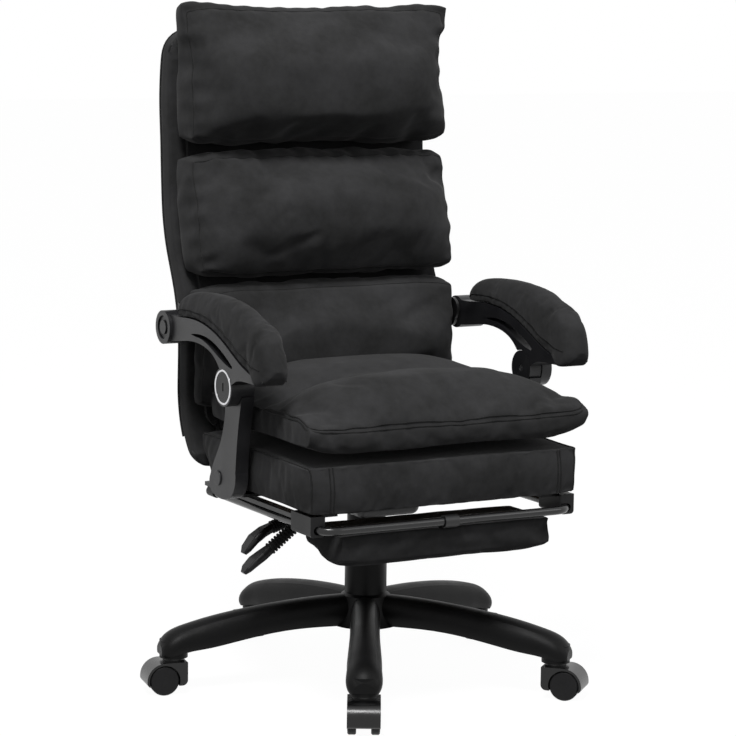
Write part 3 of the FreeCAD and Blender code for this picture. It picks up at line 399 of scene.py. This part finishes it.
def far_from(points, line):
    """Distance of every point from a line given as corners."""
    nearest = np.full(len(points), np.inf)
    for a, b in zip(np.array(line[:-1]), np.array(line[1:])):
        run = b - a
        t = np.clip((points - a) @ run / (run @ run), 0, 1)
        nearest = np.minimum(nearest, np.linalg.norm(points - a - t[:, None] * run, axis=1))
    return nearest


# %% [markdown]
# A stuffed cover is held along its seams and where it rests, and air pressure pushes the rest
# out. The cloth is cut a few percent larger than the form, so it can't lie smooth and puckers
# beside the seams, as sewn covers do.

# %% Sewing a cover for the simulation
FRAMES = 20         # length of the simulation
HOLD = 0.0045       # a point this near to a seam is held by it
sewn_covers = []


def sew(piece, seams, resting, fullness, pressure=4.0):
    """Hold the cover on its seams and resting places, and give it cloth to swell."""
    points = points_of(piece)
    held = resting(points, points_of(piece, "normal"))
    for seam in seams:
        held |= far_from(points, seam) < HOLD
    group = piece.vertex_groups.new(name="sewn")
    group.add([int(i) for i in np.flatnonzero(held)], 1.0, "REPLACE")
    cloth = piece.modifiers.new("Stuffing", "CLOTH")
    cloth.settings.quality = 6
    cloth.settings.mass = 0.3
    cloth.settings.tension_stiffness = 18
    cloth.settings.compression_stiffness = 18
    cloth.settings.bending_stiffness = 0.35
    cloth.settings.use_pressure = True
    cloth.settings.uniform_pressure_force = pressure
    cloth.settings.shrink_min = -fullness
    cloth.settings.vertex_group_mass = "sewn"
    cloth.settings.effector_weights.gravity = 0
    cloth.collision_settings.use_collision = False
    cloth.point_cache.frame_start = 1
    cloth.point_cache.frame_end = FRAMES
    sewn_covers.append((piece, cloth.name, points))
    print(piece.name, int(held.sum()), "points held")


# %% [markdown]
# The three back pillows are sewn alike: a front panel, a side border, and a seam all round the
# front. The rear lies flat on the board. Each seam runs round the front panel, a little lower at
# the corners, as the CAD form does.

# %% Back pillows
PILLOW_HALF = 0.250     # half the width of a back pillow
SEAM_BEND = 0.19        # where its seam begins to bend towards the corner
CORNER_DROP = 0.008


def front_seam(low, high):
    """Corners of the seam round a pillow's front, from its lower and upper (y, z)."""
    (y0, z0), (y1, z1) = low, high
    half, bend, drop = PILLOW_HALF, SEAM_BEND, CORNER_DROP
    return [(-half, y0, z0 + drop), (-bend, y0, z0), (bend, y0, z0), (half, y0, z0 + drop),
            (half, y1, z1 - drop), (bend, y1, z1), (-bend, y1, z1), (-half, y1, z1 - drop),
            (-half, y0, z0 + drop)]


def taller(piece, node, low, high):
    """Stretch the cover so that it reaches from low to high; its neighbours press on it there."""
    was_low, was_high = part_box(node)
    points = points_of(piece)
    points[:, 2] = low + (points[:, 2] - was_low.z) * (high - low) / (was_high.z - was_low.z)
    set_points(piece, points)


PILLOWS = {
    # lowest and highest z, then how far forward the seam lies at the bottom and at the top
    "headrest_cushion": (0.902, 1.155, 0.178, 0.198),
    "back_cushion": (0.679, 0.903, 0.140, 0.180),
    "lumbar_cushion": (0.456, 0.680, 0.140, 0.138),
}
pillows, pillow_seams = {}, {}
for node, (low, high, y_low, y_high) in PILLOWS.items():
    pillow = cover(node, node.replace("cushion", "pillow"))
    taller(pillow, node, low, high)
    pillow_seams[node] = front_seam((y_low, low + 0.011), (y_high, high - 0.010))
    sewn = pillow_seams[node]
    if node == "headrest_cushion":
        sewn = sewn[3:]     # its front rolls under at the bottom, without a seam
    sew(pillow, [sewn], lambda p, n: n[:, 1] > 0.6, fullness=0.05, pressure=5.0)
    pillows[node] = pillow

# %% [markdown]
# The seat is two pieces. The loose topper has a bolster in front, then a sewn channel, and a
# welt round its top panel. The box under it has a border with upright seams at its front
# corners. Both rest on what is under them, so their undersides are held.

# %% Seat covers
TOPPER_HALF = 0.258     # half the width of the topper
BOX_HALF = 0.250        # half the width of the box
TOPPER_WELT = [(-0.258, 0.086, 0.505), (-0.258, -0.240, 0.505), (-0.257, -0.272, 0.492),
               (-0.235, -0.281, 0.490), (-0.12, -0.284, 0.490), (0.12, -0.284, 0.490),
               (0.235, -0.281, 0.490), (0.257, -0.272, 0.492), (0.258, -0.240, 0.505),
               (0.258, 0.086, 0.505)]
TOPPER_CHANNEL = [(x, -0.088, 0.530 - 0.025 * abs(x / TOPPER_HALF) ** 4)
                  for x in np.linspace(-TOPPER_HALF, TOPPER_HALF, 13)]
BOX_POSTS = [[(x, -0.277, 0.352), (x, -0.279, 0.392), (x, -0.272, 0.430)] for x in (-0.214, 0.214)]
BOX_ENDS = [[(x, -0.275, 0.355), (x, -0.275, 0.392), (x, -0.271, 0.428), (x, 0.13, 0.430)]
            for x in (-BOX_HALF, BOX_HALF)]

topper = cover("seat_top_cushion", "seat_topper")
sew(topper, [TOPPER_WELT, TOPPER_CHANNEL], lambda p, n: n[:, 2] < -0.75, fullness=0.03)
seat_box = cover("seat_box_cushion", "seat_box", smaller=0.003)
sew(seat_box, BOX_POSTS + BOX_ENDS,
    lambda p, n: (n[:, 2] < -0.6) | (n[:, 2] > 0.8) | (n[:, 1] > 0.5), fullness=0.012)

# %% [markdown]
# The flap of the footrest and the two arm pads are small and firm, so they swell very little.
# The arm pads are held where they are screwed to their frames.

# %% Flap and arm pads
FLAP_WIDER = 1.045      # the photographed flap is a little wider than its board
flap = cover("footrest_pad", "footrest_flap_pad", voxel=0.005, smaller=0.002)
set_points(flap, points_of(flap) * (FLAP_WIDER, 1, 1))
sew(flap, [], lambda p, n: n[:, 2] > 0.5, fullness=0.03, pressure=2.5)
arm_pads = {}
for side in ("left", "right"):
    pad = cover(f"arm_pad_{side}", f"armrest_pad_{side}", voxel=0.004, smaller=0.0015)
    sew(pad, [], lambda p, n: n[:, 2] < -0.6, fullness=0.01, pressure=1.5)
    arm_pads[side] = pad

# %% [markdown]
# Now all the covers are stuffed at once: twenty frames of simulation, which Blender works out
# side by side. Afterwards no point may have moved further than a set limit, the modifier is
# applied, and the cloth is gone from the piece. A little smoothing then rounds the borders,
# because real stuffing is softer than air.

# %% Stuff the covers
LIMITS = {"headrest_pillow": 0.024, "back_pillow": 0.022, "lumbar_pillow": 0.020,
          "seat_topper": 0.022, "seat_box": 0.010, "footrest_flap_pad": 0.005,
          "armrest_pad_left": 0.003, "armrest_pad_right": 0.003}
SOFTENED = {"headrest_pillow": 20, "back_pillow": 16, "lumbar_pillow": 12,
            "seat_topper": 5, "footrest_flap_pad": 5}    # rounds of smoothing
for moment in range(1, FRAMES + 1):
    bpy.context.scene.frame_set(moment)
for piece, cloth_name, start in sewn_covers:
    only(piece)
    bpy.ops.object.modifier_apply(modifier=cloth_name)
    moved = points_of(piece) - start
    reach = np.linalg.norm(moved, axis=1)
    most = LIMITS[piece.name]
    set_points(piece, start + moved * np.minimum(1, most / np.maximum(reach, 1e-9))[:, None])
    if piece.name in SOFTENED:
        relax = piece.modifiers.new("Relax", "SMOOTH")
        relax.iterations = SOFTENED[piece.name]
        bpy.ops.object.modifier_apply(modifier=relax.name)
    print(piece.name, "moved up to", round(float(reach.max()) * 1000, 1), "mm, kept to", most * 1000)
bpy.context.scene.frame_set(1)

# %% [markdown]
# Simulation gives the swell, and a few listed touches give the character: a corner tugged into
# a point, a fold under a seam, gathers where the cloth was eased in. Each is a smooth push with
# a soft edge, as with a sculpting brush.

# %% Brushes
def tug(piece, spot, reach, push):
    """Pull the cloth round a spot by a vector, fading out over the reach."""
    points = points_of(piece)
    share = np.clip(1 - np.linalg.norm(points - np.array(spot), axis=1) / reach, 0, 1)
    share = share * share * (3 - 2 * share)
    set_points(piece, points + share[:, None] * np.array(push))


def gather(piece, line, pitch, depth, reach, seed):
    """Short folds across a seam: each dips in beside the seam and fades out over the reach."""
    points = points_of(piece)
    normals = points_of(piece, "normal")
    a, b = np.array(line[0]), np.array(line[-1])
    run = b - a
    length = np.linalg.norm(run)
    along = (points - a) @ run / length
    inside = np.clip(np.minimum(along, length - along) / 0.02, 0, 1)    # none past the ends
    away = far_from(points, line)
    mess = np.random.default_rng(seed)
    wave = np.zeros(len(points))
    for stretch, part in ((1.0, 0.5), (1.7, 0.3), (2.9, 0.2)):
        wave += part * np.sin(2 * math.pi * along / (pitch * stretch) + mess.uniform(0, 6.28))
    fade = np.exp(-(away / reach) ** 2) * inside
    set_points(piece, points + (depth * wave * fade)[:, None] * normals)


def uneven(piece, size, depth, seed):
    """Slow unevenness of the stuffing."""
    points = points_of(piece)
    lumps = np.array([noise.noise(Vector(p) / size + Vector((seed, 0, 0))) for p in points])
    set_points(piece, points + (depth * lumps)[:, None] * points_of(piece, "normal"))


def crease(piece, line, depth, width):
    """A valley along a line, where a seam draws the cloth in."""
    points = points_of(piece)
    fade = np.exp(-(far_from(points, line) / width) ** 2)
    set_points(piece, points - (depth * fade)[:, None] * points_of(piece, "normal"))


def crown(piece, middle, half, push):
    """Push the front forward, most in the middle of an area given by its (x, z) and half size."""
    points = points_of(piece)
    u = np.clip(np.abs(points[:, 0] - middle[0]) / half[0], 0, 1)
    v = np.clip(np.abs(points[:, 2] - middle[1]) / half[1], 0, 1)
    front = np.clip(-points_of(piece, "normal")[:, 1] * 1.5, 0, 1)
    points[:, 1] -= push * (1 - u ** 3) * (1 - v * v) * front
    set_points(piece, points)


# %% [markdown]
# The headrest has a pointed corner at its top, puckers along its concave top edge and a bulging,
# folded corner at the bottom. Its side border bulges between the seam and the board.

# %% Headrest
ENDS = (-PILLOW_HALF, PILLOW_HALF)
headrest = pillows["headrest_cushion"]
crown(headrest, (0.0, 1.000), (PILLOW_HALF, 0.13), 0.010)
tug(headrest, (0.250, 0.195, 1.145), 0.10, (0.020, 0.0, 0.012))
tug(headrest, (-0.250, 0.195, 1.145), 0.10, (-0.014, 0.0, 0.016))
tug(headrest, (0.0, 0.200, 1.150), 0.20, (0, 0, -0.006))
tug(headrest, (0.252, 0.170, 1.040), 0.10, (-0.009, 0, 0))
tug(headrest, (0.245, 0.160, 0.935), 0.07, (0.006, -0.006, 0.0))
gather(headrest, [(-0.24, 0.198, 1.146), (0.24, 0.198, 1.146)], 0.034, 0.0018, 0.036, 3)
gather(headrest, [(-0.24, 0.178, 0.914), (0.24, 0.178, 0.914)], 0.055, 0.0016, 0.040, 4)
for end in ENDS:
    gather(headrest, [(end, 0.180, 0.93), (end, 0.196, 1.13)], 0.038, 0.0035, 0.034,
           5 + int(end > 0))
crease(headrest, [(0.250, 0.182, 0.950), (0.205, 0.150, 0.968), (0.165, 0.140, 0.962)], 0.006, 0.010)
crease(headrest, [(0.250, 0.186, 1.095), (0.215, 0.160, 1.100)], 0.004, 0.009)
crease(headrest, pillow_seams["headrest_cushion"], 0.004, 0.006)
uneven(headrest, 0.09, 0.0035, 1)

# %% [markdown]
# The middle pillow has its strongest gathers along the top seam, where its neighbour presses on
# it, and long slanting wrinkles from its lower corner. The lumbar pillow is the smoothest.

# %% Middle and lumbar pillows
middle = pillows["back_cushion"]
crown(middle, (0.0, 0.775), (PILLOW_HALF, 0.11), 0.008)
gather(middle, [(-0.245, 0.180, 0.893), (0.245, 0.180, 0.893)], 0.036, 0.0050, 0.030, 11)
gather(middle, [(-0.24, 0.140, 0.690), (0.24, 0.140, 0.690)], 0.048, 0.0014, 0.030, 12)
WRINKLES = [[(-0.235, 0.14, 0.715), (-0.10, 0.10, 0.800)],
            [(-0.225, 0.15, 0.765), (-0.13, 0.11, 0.845)],
            [(-0.16, 0.11, 0.705), (-0.05, 0.095, 0.760)],
            [(0.235, 0.17, 0.86), (0.15, 0.13, 0.82)],
            [(0.23, 0.16, 0.80), (0.16, 0.12, 0.775)]]
for line in WRINKLES:
    crease(middle, line, 0.0055, 0.010)
for end in ENDS:
    gather(middle, [(end, 0.142, 0.71), (end, 0.178, 0.885)], 0.036, 0.0038, 0.030,
           13 + int(end > 0))
crease(middle, pillow_seams["back_cushion"], 0.004, 0.006)
uneven(middle, 0.08, 0.003, 2)

lumbar = pillows["lumbar_cushion"]
LUMBAR_WRINKLES = [[(0.22, 0.13, 0.64), (0.11, 0.095, 0.60)],
                   [(0.19, 0.12, 0.66), (0.06, 0.10, 0.63)],
                   [(-0.22, 0.13, 0.50), (-0.12, 0.10, 0.55)]]
for end in ENDS:
    gather(lumbar, [(end, 0.140, 0.49), (end, 0.138, 0.655)], 0.040, 0.0032, 0.030,
           21 + int(end > 0))
for line in LUMBAR_WRINKLES:
    crease(lumbar, line, 0.0045, 0.012)
crease(lumbar, pillow_seams["lumbar_cushion"], 0.004, 0.006)
uneven(lumbar, 0.10, 0.003, 3)

# %% [markdown]
# On the seat, the welt draws the cloth in along the front and the sides, and short puckers
# stand across it. The channel behind the bolster is a valley. The front corners of the topper
# stick out, and the box bulges a little at its sides.

# %% Seat
crease(topper, TOPPER_WELT, 0.0035, 0.006)
crease(topper, TOPPER_CHANNEL, 0.006, 0.012)
gather(topper, [(-0.25, -0.284, 0.490), (0.25, -0.284, 0.490)], 0.046, 0.0014, 0.026, 31)
for end in (-TOPPER_HALF, TOPPER_HALF):
    gather(topper, [(end, -0.26, 0.502), (end, 0.08, 0.505)], 0.040, 0.0018, 0.022,
           33 + int(end > 0))
tug(topper, (-0.258, -0.276, 0.492), 0.07, (-0.004, -0.004, 0.004))
tug(topper, (0.258, -0.276, 0.492), 0.08, (0.012, -0.004, 0.006))
uneven(topper, 0.11, 0.004, 4)
for line in BOX_POSTS:
    crease(seat_box, line, 0.003, 0.005)
for end in (-1, 1):
    tug(seat_box, (end * 0.256, -0.215, 0.445), 0.11, (end * 0.010, 0, 0))
uneven(seat_box, 0.10, 0.002, 5)
uneven(flap, 0.06, 0.0012, 6)

# %% [markdown]
# The nose of each arm pad is a round bulb that wraps over the end of the frame, so the plate
# under it doesn't show. The front of the pad is widened, raised a little, drawn back and down.

# %% Arm pad noses
ARM_X = 0.285           # middle of an arm pad, from the middle of the chair
NOSE_START = -0.150     # where the nose begins
NOSE_LENGTH = 0.055
NOSE_TOP = 0.615        # above this the nose is raised, and 30 mm lower it is drawn down
for side, sign in (("left", 1), ("right", -1)):
    points = points_of(arm_pads[side])
    share = np.clip((NOSE_START - points[:, 1]) / NOSE_LENGTH, 0, 1)
    share = share * share * (3 - 2 * share)
    centre = sign * ARM_X
    points[:, 0] = centre + (points[:, 0] - centre) * (1 + 0.35 * share)
    points[:, 1] += 0.010 * share
    under = np.clip((NOSE_TOP - points[:, 2]) / 0.03, 0, 1)
    points[:, 2] -= 0.017 * share * under
    points[:, 2] += 0.007 * share * (1 - under)
    set_points(arm_pads[side], points)

# %% [markdown]
# No piece may grow into its neighbour. Each coordinate that comes near the edge of the piece's
# room is eased back towards it, so nothing is cut flat. The room is the CAD box and a few
# millimetres where there is air.

# %% Keep every piece in its room
SOFT_EDGE = 0.006       # the easing begins this far inside the room's walls


def ease_into(piece, node, grow):
    """grow is how far past the CAD box the piece may stand, as (x, front, rear, below, above)."""
    low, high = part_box(node)
    x, front, rear, below, above = grow
    floor_of = (low.x - x, low.y - front, low.z - below)
    roof_of = (high.x + x, high.y + rear, high.z + above)
    points = points_of(piece)
    for axis in range(3):
        over = np.maximum(points[:, axis] - (roof_of[axis] - SOFT_EDGE), 0)
        points[:, axis] -= over - SOFT_EDGE * np.tanh(over / SOFT_EDGE)
        under = np.maximum((floor_of[axis] + SOFT_EDGE) - points[:, axis], 0)
        points[:, axis] += under - SOFT_EDGE * np.tanh(under / SOFT_EDGE)
    set_points(piece, points)


ROOMS = [
    (headrest, "headrest_cushion", (0.018, 0.016, 0.0, 0.016, 0.020)),
    (middle, "back_cushion", (0.008, 0.012, 0.0, 0.007, 0.003)),
    (lumbar, "lumbar_cushion", (0.008, 0.004, 0.0, 0.002, 0.001)),
    (topper, "seat_top_cushion", (0.010, 0.004, 0.002, 0.0, 0.004)),
    (seat_box, "seat_box_cushion", (0.010, 0.000, 0.0, 0.0, 0.0)),
    (flap, "footrest_pad", (0.009, 0.001, 0.001, 0.003, 0.0)),
    (arm_pads["left"], "arm_pad_left", (0.002, 0.0, 0.0, 0.015, 0.001)),
    (arm_pads["right"], "arm_pad_right", (0.002, 0.0, 0.0, 0.015, 0.001)),
]
BODY_OF = {"headrest_cushion": "back", "back_cushion": "back", "lumbar_cushion": "back",
           "seat_top_cushion": "seat", "seat_box_cushion": "seat", "footrest_pad": "footrest_flap",
           "arm_pad_left": "armrest_left", "arm_pad_right": "armrest_right"}
for piece, node, grow in ROOMS:
    ease_into(piece, node, grow)
    only(piece)
    rounder = piece.modifiers.new("Rounder", "SUBSURF")
    rounder.levels = rounder.render_levels = 1
    bpy.ops.object.modifier_apply(modifier=rounder.name)
    bpy.ops.object.shade_smooth()
    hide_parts(node)
    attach(piece, BODY_OF[node])
    print(piece.name, len(piece.data.polygons), "faces")

# %% [markdown]
# The back panel is a thin board upholstered in the same cloth. It doesn't swell, so it needs no
# simulation: the remeshed cover is relaxed, which rounds its edges like stretched cloth.

# %% Back panel
panel = cover("back_shell", "back_panel", voxel=0.005, smaller=0.0)
relax = panel.modifiers.new("Relax", "SMOOTH")
relax.iterations = 6
bpy.ops.object.modifier_apply(modifier=relax.name)
uneven(panel, 0.12, 0.0015, 7)
bpy.ops.object.shade_smooth()
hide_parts("back_shell")
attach(panel, "back")

# %% [markdown]
# Where the pillows meet, a dark fold shows, and behind it the board of the back is wrapped in the
# same cloth. The board of the flap is wrapped too. A wrapping is the board's own form, merged
# and grown by the thickness of the cloth.

# %% Wrapped boards
CLOTH = 0.0007          # thickness of the wrapping
for node, name, body in (("back_board", "back_board_wrap", "back"),
                         ("footrest_board", "flap_board_wrap", "footrest_flap")):
    wrap = merged_copy(node, name)
    bpy.ops.object.mode_set(mode="EDIT")
    bpy.ops.mesh.select_all(action="SELECT")
    bpy.ops.transform.shrink_fatten(value=-CLOTH)
    bpy.ops.object.mode_set(mode="OBJECT")
    bpy.ops.object.shade_smooth_by_angle(angle=math.radians(40))
    wrap.data.materials.append(microfibre)
    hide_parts(node)
    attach(wrap, body)
    front = float(points_of(wrap)[:, 1].min())

# %% [markdown]
# Seams are sewn on last, when the surface is final. A line is walked in short steps, each step
# is laid on the nearest cloth, and a thin round cord follows it. A welt is two such cords side
# by side, with the fold of cloth between them.

# %% Cords laid on cloth
CORD_STEP = 0.005


def lay_cord(name, piece, line, radius, body, lift=0.0):
    """A thin cord along a line, laid on the piece's surface or a lift above it."""
    surface = BVHTree.FromPolygons([v.co[:] for v in piece.data.vertices],
                                   [p.vertices[:] for p in piece.data.polygons])
    spots = []
    for a, b in zip(line[:-1], line[1:]):
        a, b = Vector(a), Vector(b)
        count = max(1, int((b - a).length / CORD_STEP))
        spots += [a.lerp(b, i / count) for i in range(count)]
    spots.append(Vector(line[-1]))
    laid = []
    for spot in spots:
        near, normal, _, _ = surface.find_nearest(spot)
        laid.append(near + normal * lift)
    for _ in range(2):
        between = [(laid[i - 1] + 2 * laid[i] + laid[i + 1]) / 4 for i in range(1, len(laid) - 1)]
        laid = [laid[0]] + between + [laid[-1]]
    curve = bpy.data.curves.new(name, "CURVE")
    curve.dimensions = "3D"
    curve.bevel_depth = radius
    curve.bevel_resolution = 1
    curve.use_fill_caps = True
    track = curve.splines.new("POLY")
    track.points.add(len(laid) - 1)
    for point, spot in zip(track.points, laid):
        point.co = (*spot, 1)
    cord = bpy.data.objects.new(name, curve)
    bpy.context.scene.collection.objects.link(cord)
    only(cord)
    bpy.ops.object.convert(target="MESH")
    bpy.ops.object.shade_smooth()
    cord.data.materials.clear()
    cord.data.materials.append(thread)
    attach(cord, body)


def shifted(line, dx=0.0, dz=0.0):
    return [(x + dx, y, z + dz) for x, y, z in line]


# %% [markdown]
# The pillows have one fine seam round the front. The topper has a double welt, 7 mm apart, along
# the front and the sides. The box has a double seam beside each front corner, 5.6 mm apart, and
# a single thicker one along each edge.

# %% Sew the seams
for node, seam in pillow_seams.items():
    if node == "headrest_cushion":
        seam = seam[3:]
    lay_cord(node.replace("cushion", "seam"), pillows[node], seam, 0.0008, "back")
for index, rise in enumerate((-0.0035, 0.0035)):
    lay_cord(f"topper_welt_{index}", topper, shifted(TOPPER_WELT, dz=rise), 0.0012, "seat", 0.0003)
for index, line in enumerate(BOX_POSTS):
    for twin, dx in enumerate((-0.0028, 0.0028)):
        lay_cord(f"box_upright_{index}_{twin}", seat_box, shifted(line, dx=dx), 0.0011, "seat", 0.0003)
for index, line in enumerate(BOX_ENDS):
    lay_cord(f"box_edge_{index}", seat_box, line, 0.0014, "seat", 0.0004)
print("seams sewn")

# %% [markdown]
# The back panel carries piping along its rear edge. The cord follows the panel's side up, turns
# round both top corners and comes down again.

# %% Piping of the back panel
REAR_Z, REAR_Y = np.array([
    (0.395, 0.197), (0.420, 0.212), (0.455, 0.223), (0.500, 0.228), (0.560, 0.227),
    (0.640, 0.238), (0.705, 0.266), (0.765, 0.287), (0.830, 0.298), (0.920, 0.303),
    (1.000, 0.305), (1.055, 0.301), (1.105, 0.291)]).T
PIPING_INSET = 0.004    # the piping lies this far in front of the panel's rear face
CORNER_R = 0.042        # radius of the panel's top corners, then the centre of that radius
CORNER_X = 0.2095
CORNER_Z = 1.063


def rear_of(z):
    """Where the piping lies in y at a height."""
    return float(np.interp(z, REAR_Z, REAR_Y)) - PIPING_INSET


side_run = [(CORNER_X + CORNER_R, rear_of(z), z) for z in np.linspace(0.41, 1.06, 34)]
corner = []
for turn in np.linspace(0.1, 1.57, 8):
    z = CORNER_Z + CORNER_R * math.sin(turn)
    corner.append((CORNER_X + CORNER_R * math.cos(turn), rear_of(z), z))
half_run = side_run + corner
piping_line = [(-x, y, z) for x, y, z in half_run] + half_run[::-1]
lay_cord("panel_piping", panel, piping_line, 0.0028, "back", 0.0012)

# %% [markdown]
# The arm pads have a stitch line a little above their lower edge, where the cover is gathered
# under the pad.

# %% Arm pad stitching
STITCH = [(0.122, 0.636), (0.106, 0.645), (0.051, 0.648), (0.001, 0.644), (-0.044, 0.633),
          (-0.093, 0.613), (-0.129, 0.597), (-0.173, 0.584), (-0.205, 0.580)]     # (y, z)
for side, sign in (("left", 1), ("right", -1)):
    for face, across in (("outer", 0.030), ("inner", -0.030)):
        line = [(sign * (ARM_X + across), y, z) for y, z in STITCH]
        lay_cord(f"arm_stitch_{side}_{face}", arm_pads[side], line, 0.0009, f"armrest_{side}", 0.0002)

# %% [markdown]
# Last, the size of what is shown is printed. It should agree with the size of the CAD model
# within a few millimetres of cloth.

# %% Sizes
low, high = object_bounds()
print("visual box", [round(v, 3) for v in (*low, *high)])
